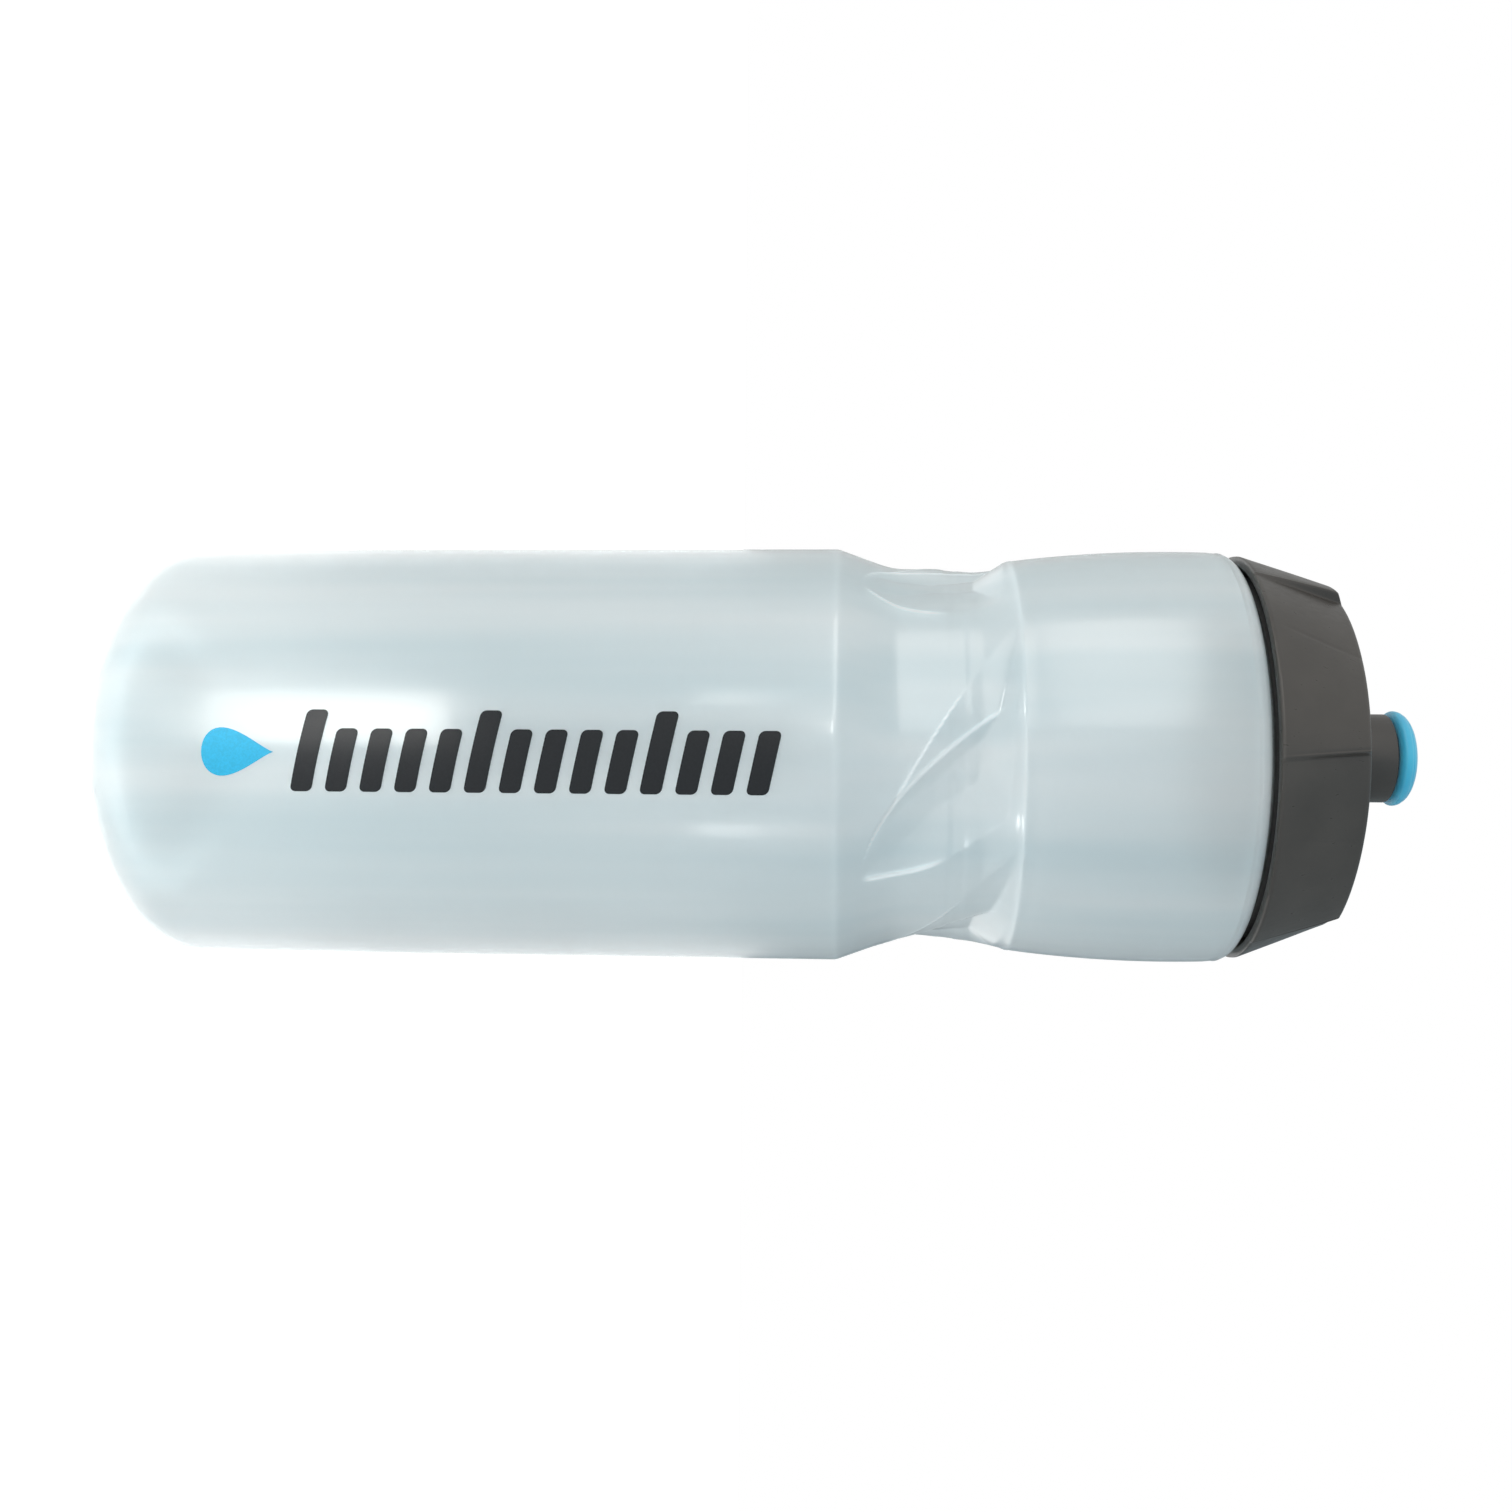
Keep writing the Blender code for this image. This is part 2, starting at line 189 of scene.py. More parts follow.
def dimple(bearing, z):
    """How far the grip dimples push the waist in at a place, and how near (0 to 1) it is to a crease.

    Each dimple runs up and round from a pointed tip. Its upper side is a facet between two creases. The shape
    is worked out in millimetres along the bottle and degrees round it.
    """
    rise = z / MM - DIMPLE_TIP
    if rise < -1 or rise > DIMPLE_LENGTH + 6:
        return 0, 0
    depth, edge = 0, 0
    for tip, lean in DIMPLES:
        side = (bearing - tip - lean * rise + 180) % 360 - 180
        if abs(side) > 90:
            continue
        run = max(0, rise)
        inner = 8.4 * run**0.563
        outer = inner + 1.15 * max(0, run - 5)
        lower = -0.35 * rise + 0.05 * rise**2
        facet = 0.055 * max(0, min(outer - side, outer - inner))
        slopes = [
            0.27 * (outer - side),
            facet + 0.24 * max(0, inner - side) + 0.01,
            0.11 * (side - lower),
            0.4 * (DIMPLE_LENGTH + 0.05 * side - rise),
            0.16 * rise,
            DIMPLE_DEPTH,
        ]
        inside = soft_min(slopes, 0.03)
        depth = max(depth, soft_max(inside, 0, 0.009))
        # edge is the strength of a painted highlight along the dimple's creases; it also lifts a tiny bead
        # there
        fades = smooth_step(run / 2) * smooth_step((DIMPLE_LENGTH + 1 - run) / 3)
        lines = [
            (inner - side, 0.5, 0.8 * smooth_step((side - lower) / 3)),
            (outer - side, 0.45, 0.8 * smooth_step((17 - run) / 3)),
            (side - lower, 0.6, 0.9 * smooth_step((15 - run) / 5)),
        ]
        for off, width, strength in lines:
            edge = max(edge, fades * strength * bell(off, width))
    depth -= 0.1 * edge
    if abs(depth) <= 0.01:
        return 0, edge
    return depth * MM, edge


def neck_thread(bearing, z):
    """Height of the screw thread on the neck at a place on it."""
    turn = -bearing / 360 % 1 - 0.25
    best = 0
    for whole in range(-1, 3):
        along = turn + whole
        if not 0 <= along <= THREAD_TURNS:
            continue
        off = abs(z - THREAD_START - THREAD_PITCH * along)
        run = min(1, along / 0.12, (THREAD_TURNS - along) / 0.12)
        flank = min(1, max(0, (1.1 * MM - off) / (0.6 * MM)))
        best = max(best, THREAD_HEIGHT * smooth_step(run) * smooth_step(flank))
    return best


def body_profile():
    """Rows (radius, z) of the body's outside, from the mouth down to the foot, closest where it curves."""
    mouth = [(NECK_RADIUS - WALL, NECK_TOP), (NECK_RADIUS, NECK_TOP), (NECK_RADIUS, NECK_TOP - 1 * MM)]
    rows = rounded(mouth, 0.4 * MM)[1:]
    z = NECK_TOP - 1.3 * MM
    while z > SHOULDER_Z + 2 * MM:
        rows.append((NECK_RADIUS, z))
        z -= 0.3 * MM
    rows += arc((NECK_RADIUS + 1.9 * MM, SHOULDER_Z + 1.9 * MM), (1.9 * MM, 1.9 * MM), 180, 270, 6)
    rows += [(31 * MM, SHOULDER_Z), (32.2 * MM, SHOULDER_Z - 0.05 * MM), (33 * MM, SHOULDER_Z - 0.2 * MM)]
    rows += arc((33.5 * MM, SHOULDER_Z - 2.8 * MM), (2.25 * MM, 2.55 * MM), 78, 30, 8)
    rows += [(35.62 * MM, 189.7 * MM), (35.76 * MM, 189.4 * MM)]
    rows += [(35.62 * MM, 189.05 * MM), (35.74 * MM, 188.7 * MM)]
    drop = (BULGE_RADIUS - BULGE_FOOT_RADIUS) / (BULGE_Z - BULGE_FOOT) ** 2
    z = 187.5 * MM
    while z > BULGE_FOOT + 0.5 * MM:
        rows.append((BULGE_RADIUS - drop * (z - BULGE_Z) ** 2, z))
        z -= 1.5 * MM
    flare = BULGE_FOOT_RADIUS - WAIST_RADIUS
    fine = 0.4 * MM
    z = BULGE_FOOT + 0.3 * MM
    while z > WAIST_END - 0.2 * MM:
        t = min(1, max(0, (z - WAIST_END) / (BULGE_FOOT - WAIST_END)))
        bead = 0.1 * MM * bell(z - BULGE_FOOT + 0.5 * MM, 0.5 * MM)
        rows.append((WAIST_RADIUS + flare * t**1.5 + bead, z))
        z -= fine
    slope = (BODY_RADIUS - WAIST_RADIUS) / (WAIST_START - BARREL_TOP)
    while z > BARREL_TOP - 2.4 * MM:
        cone = BODY_RADIUS - slope * (z - BARREL_TOP)
        band = 0.08 * MM * smooth_step((z - WAIST_BAND[0]) / (2 * fine))
        band *= smooth_step((WAIST_BAND[1] - z) / (2 * fine))
        radius = soft_max(cone / MM, (WAIST_RADIUS - band) / MM, 0.35) * MM
        rows.append((-soft_max(-radius / MM, -BODY_RADIUS / MM, 0.06) * MM, z))
        z -= fine
    barrel_rows = 14
    for i in range(barrel_rows):
        t = i / barrel_rows
        rows.append((BODY_RADIUS, z + (FOOT_CORNER - z) * t))
    rows += arc((FOOT_RADIUS, FOOT_CORNER), (BODY_RADIUS - FOOT_RADIUS, FOOT_CORNER), 0, -90, 22)
    foot = [
        (FOOT_RADIUS, 0), (21 * MM, 0), (19.5 * MM, 0.9 * MM), (17.8 * MM, 2.6 * MM), (10 * MM, 4 * MM),
        (3 * MM, 4.4 * MM),
    ]
    rows += rounded(foot, 1.2 * MM)[1:]
    rows += [(2 * MM, 4.45 * MM), (0.8 * MM, 4.5 * MM)]
    return rows


def make_body():
    """The body, with an attribute that says how near each point is to a crease; the body's material paints a
    highlight glow there.
    """
    rings, edges = [], []
    for radius, z in body_profile():
        # painted highlight: thin glowing rings round the bulge foot and the barrel top, kept in the crease
        # attribute
        ring_highlight = max(0.14 * bell(z - BULGE_FOOT + 0.5 * MM, 0.45 * MM), 0.08 * bell(z - BARREL_TOP, 0.6 * MM))
        ring = []
        for i in range(AROUND):
            bearing = -360 * i / AROUND
            r, edge = radius, ring_highlight
            if BARREL_TOP < z < BULGE_FOOT + 4 * MM:
                depth, crease = dimple(bearing, z)
                r -= depth
                edge = max(ring_highlight, crease)
            elif SHOULDER_Z + 2 * MM < z < NECK_TOP - 1.2 * MM:
                r += neck_thread(bearing, z)
            ring.append(at_bearing(bearing, r, z))
            edges.append(edge)
        rings.append(ring)
    body = grid_mesh("body_shell", rings, pole_end=True)
    # the crease attribute sets where the body's material paints its highlight glow
    highlight_layer = body.data.attributes.new("crease", "FLOAT", "POINT")
    highlight_layer.data.foreach_set("value", [*edges, 0])
    wall = body.modifiers.new("wall", "SOLIDIFY")
    wall.thickness = WALL
    wall.offset = -1
    body.data.materials.append(frosted_plastic())
    return body


# ---------------------------------------------------------------- cap

def panel_ring(height, inset=0.0, lift=0.0):
    """One ring round the cap's overlapping panels, at a height from base (0) to rim (1).

    Going round, each panel starts proud, falls back as far as its crease, and ends in a short steep wall up
    to the next one. The points are closest at the panel's edges and crease.
    """
    panel = 360 / PANELS
    ridge = 0.8 + 2 * height
    crease = panel * (0.638 - 0.132 * height)
    proud_top = (0.2 + 1.7 * height) * MM
    wall_start, wall_end = panel - 1.7, panel - 0.35
    points = []
    offsets = []
    runs = [(0, 0.2, 16), (3.2, 0.98, 27), (29.6, 0.3, 30), (38.6, 0.98, 19), (57.2, 0.14, 20)]
    for start, step, count in runs:
        offsets += [start + step * i for i in range(count)]
    for i in range(PANELS):
        for offset in offsets:
            if offset > wall_start:
                proud = proud_top * smooth_step((offset - wall_start) / (wall_end - wall_start))
            else:
                rounding = 0.06 * max(0, 1 - offset / 1.5) ** 2
                proud = proud_top * (soft_max(1 - offset / crease, 0, 0.004) - rounding)
                proud -= 0.07 * MM * smooth_step((height - 0.1) / 0.3) * bell(offset - crease, 0.6)
            radius = CAP_BASE_RADIUS + (CAP_RIM_RADIUS - CAP_BASE_RADIUS) * height + proud
            z = CAP_BASE + (CAP_RIM - CAP_BASE) * height
            z -= 0.34 * (radius - CAP_RIM_RADIUS) * height**6
            points.append(at_bearing(ridge + panel * i + offset, radius - inset, z + lift))
    return points[::-1]


def make_cap():
    # each row outside: height from base (0) to rim (1), inset and lift in millimetres
    outside = [(0.0, 0.9, 0.0), (0.0, 0.5, 0.05), (0.012, 0.15, 0.0), (0.035, 0, 0.0), (0.06, 0, 0)]
    outside += [(0.1 + 0.05 * i, 0, 0) for i in range(18)]
    outside += [(0.965, 0.0, 0.0), (0.985, 0.06, 0.0), (0.997, 0.2, 0.0)]
    outside += [(1.0, 0.42, 0.06), (1.0, 0.75, 0.16)]
    rings = [panel_ring(h, inset * MM, lift * MM) for h, inset, lift in outside]
    rim = rings[-1]
    count = len(rim)
    directions = [Vector((x, y, 0)).normalized() for x, y, _ in rim]
    top = (12.5 * MM, CAP_TOP - 0.1 * MM)
    for t in (0.06, 0.15, 0.3, 0.5, 0.7, 0.85, 0.94, 1):
        ring = []
        for i in range(count):
            start = Vector(rim[i])
            radius = start.xy.length + (top[0] - start.xy.length) * t
            z = start.z + (top[1] - start.z) * (1 - (1 - t) ** 1.6)
            ring.append(tuple(directions[i] * radius + Vector((0, 0, z))))
        rings.append(ring)
    bead = SPOUT_RADIUS + 0.6 * MM
    bore = SPOUT_RADIUS - 1.3 * MM
    inner = [
        (10.5 * MM, CAP_TOP), (SPOUT_RADIUS, CAP_TOP), (SPOUT_RADIUS, SPOUT_TOP - 1.3 * MM),
        (bead, SPOUT_TOP - 0.9 * MM), (bead, SPOUT_TOP - 0.5 * MM), (SPOUT_RADIUS, SPOUT_TOP),
        (bore, SPOUT_TOP), (bore, CAP_ROOF + 2.4 * MM), (12 * MM, CAP_ROOF + 2.4 * MM),
        (24 * MM, CAP_ROOF), (28 * MM, CAP_ROOF), (28 * MM, CAP_ROOF - 2 * MM),
        (CAVITY_RADIUS, CAP_ROOF - 4.2 * MM),
    ]
    inner = rounded(inner, 0.35 * MM, 3)
    z = CAP_ROOF - 4.6 * MM
    while z > CAP_BASE + 0.4 * MM:
        inner.append((CAVITY_RADIUS, z))
        z -= 0.4 * MM
    lip = [
        (CAVITY_RADIUS, CAP_BASE + 0.3 * MM), (CAVITY_RADIUS + 0.2 * MM, CAP_BASE), (31.3 * MM, CAP_BASE),
        (31.5 * MM, CAP_BASE + 0.3 * MM), (31.6 * MM, CAP_BASE + 5.2 * MM), (33.5 * MM, CAP_BASE + 0.3 * MM),
        (33.7 * MM, CAP_BASE), (34 * MM, CAP_BASE),
    ]
    inner += lip
    turned_start = THREAD_START - THREAD_PITCH / 2
    for radius, z in inner:
        ring = []
        for d in directions:
            r = radius
            if radius == CAVITY_RADIUS:
                bearing = math.degrees(math.atan2(-d.x, -d.y))
                r -= neck_thread(bearing, z + THREAD_START - turned_start)
            ring.append((d.x * r, d.y * r, z))
        rings.append(ring)
    cap = grid_mesh("cap_moulding", rings, closed_path=True)
    cap.data.set_sharp_from_angle(angle=math.radians(60))
    cap.data.materials.append(charcoal_plastic("cap_charcoal", (0.050, 0.045, 0.040), 0.33))
    # painted shade: the cap's inside is near black, darker than its own plastic, as the shade inside it
    cap.data.materials.append(charcoal_plastic("cap_inside_painted_shade", (0.012, 0.011, 0.010), 0.5))
    # faces inside the cap and its lip take the painted shade
    for face in cap.data.polygons:
        centre = face.center
        radius = centre.xy.length
        if CAP_BASE + 0.05 * MM < centre.z < CAP_ROOF and radius < 33.4 * MM - 0.33 * (centre.z - CAP_BASE):
            face.material_index = 1
    return cap


def make_seal():
    low, high, outer, inner = SEAL_LOW.z, SEAL_HIGH.z, SEAL_HIGH.x, 24.6 * MM
    corners = [(outer, high), (outer, low), (inner, low), (inner, high)]
    middle = (0.5 * (outer + inner), high)
    seal = turned("seal_washer", rounded([middle, *corners, middle], 0.3 * MM)[:-1])
    seal.data.materials.append(plain_rubber("seal_silicone", (0.70, 0.73, 0.74), 0.5))
    return seal


# ---------------------------------------------------------------- nozzle

def make_plug():
    outer = PLUG_HIGH.x
    inner = outer - 0.9 * MM
    bottom, top, pin_top = PLUG_LOW.z, PLUG_LOW.z + 3 * MM, PLUG_HIGH.z
    middle = (0.5 * (outer + inner), top)
    corners = [(outer, top), (outer, bottom), (inner, bottom), (inner, top)]
    ring = rounded([middle, *corners, middle], 0.2 * MM)[:-1]
    plug = turned("valve_plug_moulding", ring, 96)
    axis, stalk_radius, head = 0.05 * MM, 1.5 * MM, 2.2 * MM
    pin = [
        (axis, pin_top), (1.6 * MM, pin_top), (head, pin_top - 0.6 * MM), (head, pin_top - 1.8 * MM),
        (stalk_radius, pin_top - 3 * MM), (stalk_radius, bottom), (axis, bottom),
    ]
    stalk = turned("valve_pin", rounded(pin, 0.25 * MM), 64)
    spokes = []
    for i in range(3):
        bearing = 20 + 120 * i
        mesh = bpy.data.meshes.new("spoke")
        build = bmesh.new()
        bmesh.ops.create_cube(build, size=1)
        length = inner + 0.3 * MM - 1 * MM
        bmesh.ops.scale(build, vec=(0.9 * MM, length, 2.4 * MM), verts=build.verts)
        bmesh.ops.bevel(build, geom=build.edges[:], offset=0.15 * MM, segments=2, affect="EDGES")
        turn = Matrix.Rotation(-math.radians(bearing), 4, "Z")
        place = Matrix.Translation(Vector(at_bearing(bearing, 1 * MM + length / 2, bottom + 1.5 * MM)))
        bmesh.ops.transform(build, matrix=place @ turn, verts=build.verts)
        build.to_mesh(mesh)
        build.free()
        mesh.shade_smooth()
        spoke = bpy.data.objects.new(f"valve_spoke_{i + 1}", mesh)
        bpy.context.scene.collection.objects.link(spoke)
        spokes.append(spoke)
    look = plain_rubber("natural_polypropylene", (0.60, 0.62, 0.61), 0.35)
    for piece in (plug, stalk, *spokes):
        piece.data.materials.append(look)
    return [plug, stalk, *spokes]


def make_stem():
    bottom, top = STEM_LOW.z, STEM_HIGH.z
    shoulder = TIP_LOW.z - 0.3 * MM
    bore, lip, core, hole = SPOUT_RADIUS + 0.9 * MM, SPOUT_RADIUS + 0.35 * MM, 6.1 * MM, 3.4 * MM
    roof = SPOUT_TOP + 0.4 * MM
    middle = (0.5 * (hole + core), top)
    outline = [
        middle, (core, top), (core, shoulder), (STEM_RADIUS, shoulder), (STEM_RADIUS, bottom), (lip, bottom),
        (lip, bottom + 0.5 * MM), (bore, bottom + 0.9 * MM), (bore, roof), (hole, roof), (hole, top), middle,
    ]
    stem = turned("nozzle_stem", rounded(outline, 0.35 * MM)[:-1], 192)
    stem.data.materials.append(charcoal_plastic("stem_charcoal", (0.056, 0.052, 0.048), 0.36))
    return stem


def make_tip():
    """The soft tip: a low dome with a moulding line round it, and the small drinking hole."""
    bottom, top = TIP_LOW.z, TIP_HIGH.z
    inner, hole, under = 6.4 * MM, 2.55 * MM, STEM_HIGH.z + 0.3 * MM
    middle, round_over = TIP_HIGH.z - 2.5 * MM, 3.6 * MM
    outside = arc((TIP_RADIUS - round_over, middle), (round_over, top - middle), 90, 0, 40)
    outside += arc((TIP_RADIUS - 1.5 * MM, middle), (1.5 * MM, middle - bottom), 0, -80, 24)[1:]
    line_z = bottom + 2.1 * MM
    for i, (radius, z) in enumerate(outside):
        outside[i] = (radius - 0.1 * MM * bell(z - line_z, 0.13 * MM), z)
    profile = [(hole, under + 0.5 * MM), (hole, top - 0.9 * MM)]
    profile += arc((hole + 0.75 * MM, top - 0.9 * MM), (0.75 * MM, 0.75 * MM), 180, 90, 5)[1:]
    profile += outside
    profile += [(inner + 0.2 * MM, bottom), (inner, bottom + 0.2 * MM), (inner, under - 0.2 * MM)]
    profile += [(inner - 0.2 * MM, under), (hole + 0.3 * MM, under), (hole, under + 0.3 * MM)]
    tip = turned("soft_tip", profile, 192)
    tip.data.materials.append(soft_elastomer())
    return tip


# ---------------------------------------------------------------- print

def wrapped(outline, centre_z, centre_bearing):
    """Points and faces of a flat printed shape laid round the barrel.

    The outline is star-shaped about its own centre, with u along the bottle and v round it, in metres.
    """
    radius = BODY_RADIUS + PRINT_LIFT
    rings = 7
    count = len(outline)
    cu = sum(p[0] for p in outline) / count
    cv = sum(p[1] for p in outline) / count
    points, faces = [], []
    for r in range(rings + 1):
        t = r / rings
        for u, v in outline:
            u, v = cu + (u - cu) * t, cv + (v - cv) * t
            points.append(at_bearing(centre_bearing + math.degrees(v / BODY_RADIUS), radius, centre_z + u))
    for r in range(rings):
        for i in range(count):
            j = (i + 1) % count
            faces.append((r * count + i, r * count + j, (r + 1) * count + j, (r + 1) * count + i))
    return points, faces


def printed(name, shapes, centre_z, centre_bearing, look):
    """One piece of ink made of several shapes."""
    mesh = bpy.data.meshes.new(name)
    build = bmesh.new()
    for shape in shapes:
        points, faces = wrapped(shape, centre_z, centre_bearing)
        verts = [build.verts.new(p) for p in points]
        for face in faces:
            build.faces.new([verts[i] for i in face])
    bmesh.ops.remove_doubles(build, verts=build.verts, dist=1e-7)
    bmesh.ops.recalc_face_normals(build, faces=build.faces)
    probe = build.faces[0]
    if probe.normal.dot(Vector((*probe.calc_center_median().xy, 0))) < 0:
        bmesh.ops.reverse_faces(build, faces=build.faces)
    build.to_mesh(mesh)
    build.free()
    mesh.shade_flat()
    obj = bpy.data.objects.new(name, mesh)
    bpy.context.scene.collection.objects.link(obj)
    thick = obj.modifiers.new("ink", "SOLIDIFY")
    thick.thickness = PRINT_THICKNESS
    thick.offset = 1
    mesh.materials.append(look)
    return obj


def slanted_bar(u, width, low, high, slant=0.22, corner=0.9 * MM, steps=5):
    """A rounded, leaning bar whose foot is centred at u."""
    points = []
    for cu, cv, start in (
        (u + width / 2 - corner, high - corner, 0), (u - width / 2 + corner, high - corner, 90),
        (u - width / 2 + corner, low + corner, 180), (u + width / 2 - corner, low + corner, 270),
    ):
        for i in range(steps + 1):
            a = math.radians(start + 90 * i / steps)
            pu, pv = cu + corner * math.cos(a), cv + corner * math.sin(a)
            points.append((pu + slant * (pv - low), pv))
    return subdivided(points, 1 * MM)


def subdivided(points, longest):
    """The same closed outline with extra points, so that no side is longer than asked."""
    out = []
    for (u0, v0), (u1, v1) in zip(points, points[1:] + points[:1]):
        count = max(1, math.ceil(math.hypot(u1 - u0, v1 - v0) / longest))
        out += [(u0 + (u1 - u0) * i / count, v0 + (v1 - v0) * i / count) for i in range(count)]
    return out


def drop_outline(size, steps=48):
    """A water drop lying along the bottle, its point towards the nozzle."""
    points = []
    for i in range(steps):
        a = math.tau * i / steps
        pinch = math.sin(a / 2) ** 1.6
        points.append((size * math.cos(a), size * 0.95 * math.sin(a) * pinch))
    return points


def make_print(front):
    """A row of leaning bars, every fifth one taller, and a water drop."""
    dark = ink("dark_ink", (0.018, 0.020, 0.023))
    blue = ink("blue_ink", (0.03, 0.48, 0.78))
    side = "front" if front else "back"
    bearing = 0 if front else 180
    bars = []
    pitch, width, low = 5.6 * MM, 3.5 * MM, -5.5 * MM
    for i in range(14):
        high = 7.6 * MM if i % 5 == 0 else 4.6 * MM
        bars.append(slanted_bar((i - 6.5) * pitch, width, low, high))
    drop = drop_outline(5.9 * MM)
    return [
        printed(f"{side}_print_bars", bars, 75.3 * MM, bearing - 1.2, dark),
        printed(f"{side}_print_drop", [drop], 28.8 * MM, bearing, blue),
    ]


# ---------------------------------------------------------------- materials

def new_material(name):
    made = bpy.data.materials.new(name)
    made.use_nodes = True
    return made, made.node_tree.nodes, made.node_tree.links, made.node_tree.nodes["Principled BSDF"]


def position(nodes, links, stretch=(1, 1, 1)):
    """Object coordinates in metres, stretched so that a pattern runs along the bottle."""
    place = nodes.new("ShaderNodeTexCoord")
    scale = nodes.new("ShaderNodeMapping")
    scale.inputs["Scale"].default_value = stretch
    links.new(place.outputs["Object"], scale.inputs["Vector"])
    return scale.outputs["Vector"]


def noise(nodes, links, vector, scale, detail=3, rough=0.5):
    made = nodes.new("ShaderNodeTexNoise")
    made.inputs["Scale"].default_value = scale
    made.inputs["Detail"].default_value = detail
    made.inputs["Roughness"].default_value = rough
    links.new(vector, made.inputs["Vector"])
    return made.outputs["Fac"]


def spread(nodes, links, value, low, high, from_low=0.3, from_high=0.7):
    made = nodes.new("ShaderNodeMapRange")
    made.inputs["From Min"].default_value = from_low
    made.inputs["From Max"].default_value = from_high
    made.inputs["To Min"].default_value = low
    made.inputs["To Max"].default_value = high
    links.new(value, made.inputs["Value"])
    return made.outputs["Result"]


def colours(nodes, links, value, stops):
    made = nodes.new("ShaderNodeValToRGB")
    ramp = made.color_ramp
    ramp.elements[0].position, ramp.elements[0].color = stops[0][0], (*stops[0][1], 1)
    ramp.elements[1].position, ramp.elements[1].color = stops[-1][0], (*stops[-1][1], 1)
    for place, colour in stops[1:-1]:
        ramp.elements.new(place).color = (*colour, 1)
    links.new(value, made.inputs["Fac"])
    return made.outputs["Color"]


def bump(nodes, links, shader, layers):
    """Stacks bump layers (height, strength, distance) on the shader's normal."""
    normal = None
    for height, strength, distance in layers:
        made = nodes.new("ShaderNodeBump")
        made.inputs["Strength"].default_value = strength
        made.inputs["Distance"].default_value = distance
        links.new(height, made.inputs["Height"])
        if normal:
            links.new(normal, made.inputs["Normal"])
        normal = made.outputs["Normal"]
    links.new(normal, shader.inputs["Normal"])
    links.new(normal, shader.inputs["Coat Normal"])


def frosted_plastic():
    """Milky see-through plastic with a clear gloss, streaked lengthwise.

    It has a painted glow: a painted highlight at its creases, and painted light that rises towards the cap.
    """
    made, nodes, links, shader = new_material("frosted_polyethylene")
    shader.inputs["Transmission Weight"].default_value = 0.72
    shader.inputs["IOR"].default_value = 1.5
    shader.inputs["Specular IOR Level"].default_value = 0.25
    shader.inputs["Coat Weight"].default_value = 0.8
    shader.inputs["Coat IOR"].default_value = 1.5
    even = position(nodes, links)
    along = position(nodes, links, (1, 1, 0.12))
    # painted highlight: the crease attribute drives a pale glow along the creases
    crease = nodes.new("ShaderNodeAttribute")
    crease.attribute_name = "crease"
    shader.inputs["Emission Color"].default_value = (0.95, 1, 1, 1)
    glow = spread(nodes, links, crease.outputs["Fac"], 0, 0.34, 0, 1)
    split = nodes.new("ShaderNodeSeparateXYZ")
    links.new(even, split.inputs["Vector"])
    # painted light: a glow that rises from 70 mm to 150 mm up the bottle, towards the cap
    rise = spread(nodes, links, split.outputs["Z"], 0, 0.042, 70 * MM, 150 * MM)
    painted_glow_total = nodes.new("ShaderNodeMath")
    links.new(glow, painted_glow_total.inputs[0])
    links.new(rise, painted_glow_total.inputs[1])
    links.new(painted_glow_total.outputs["Value"], shader.inputs["Emission Strength"])
    bands = noise(nodes, links, position(nodes, links, (1, 1, 0.05)), 105, 2)
    tints = [(0.3, (0.74, 0.84, 0.87)), (0.7, (0.91, 0.95, 0.96))]
    links.new(colours(nodes, links, bands, tints), shader.inputs["Base Color"])
    streak = noise(nodes, links, along, 350, 3)
    links.new(spread(nodes, links, streak, 0.28, 0.34), shader.inputs["Roughness"])
    links.new(spread(nodes, links, streak, 0.13, 0.19), shader.inputs["Coat Roughness"])
    flute = noise(nodes, links, position(nodes, links, (1, 1, 0.04)), 75, 1)
    grain = noise(nodes, links, even, 3500, 2)
    bump(nodes, links, shader, [(flute, 0.5, 0.6 * MM), (grain, 0.06, 0.02 * MM)])
    return made


def charcoal_plastic(name, colour, roughness):
    made, nodes, links, shader = new_material(name)
    shader.inputs["IOR"].default_value = 1.49
    even = position(nodes, links)
    along = position(nodes, links, (1, 1, 0.08))
    cloud = noise(nodes, links, even, 90, 3)
    low = tuple(c * 0.88 for c in colour)
    high = tuple(c * 1.15 for c in colour)
    links.new(colours(nodes, links, cloud, [(0.3, low), (0.7, high)]), shader.inputs["Base Color"])
    rub = noise(nodes, links, along, 1500, 4, 0.6)
    links.new(spread(nodes, links, rub, roughness - 0.06, roughness + 0.08), shader.inputs["Roughness"])
    grain = noise(nodes, links, even, 5200, 3)
    bump(nodes, links, shader, [(grain, 0.35, 0.03 * MM), (cloud, 0.1, 0.3 * MM)])
    return made


def plain_rubber(name, colour, roughness):
    made, nodes, links, shader = new_material(name)
    even = position(nodes, links)
    cloud = noise(nodes, links, even, 150, 3)
    low = tuple(c * 0.94 for c in colour)
    links.new(colours(nodes, links, cloud, [(0.3, low), (0.7, colour)]), shader.inputs["Base Color"])
    links.new(spread(nodes, links, cloud, roughness - 0.05, roughness + 0.05), shader.inputs["Roughness"])
    grain = noise(nodes, links, even, 4000, 2)
    bump(nodes, links, shader, [(grain, 0.3, 0.02 * MM)])
    return made


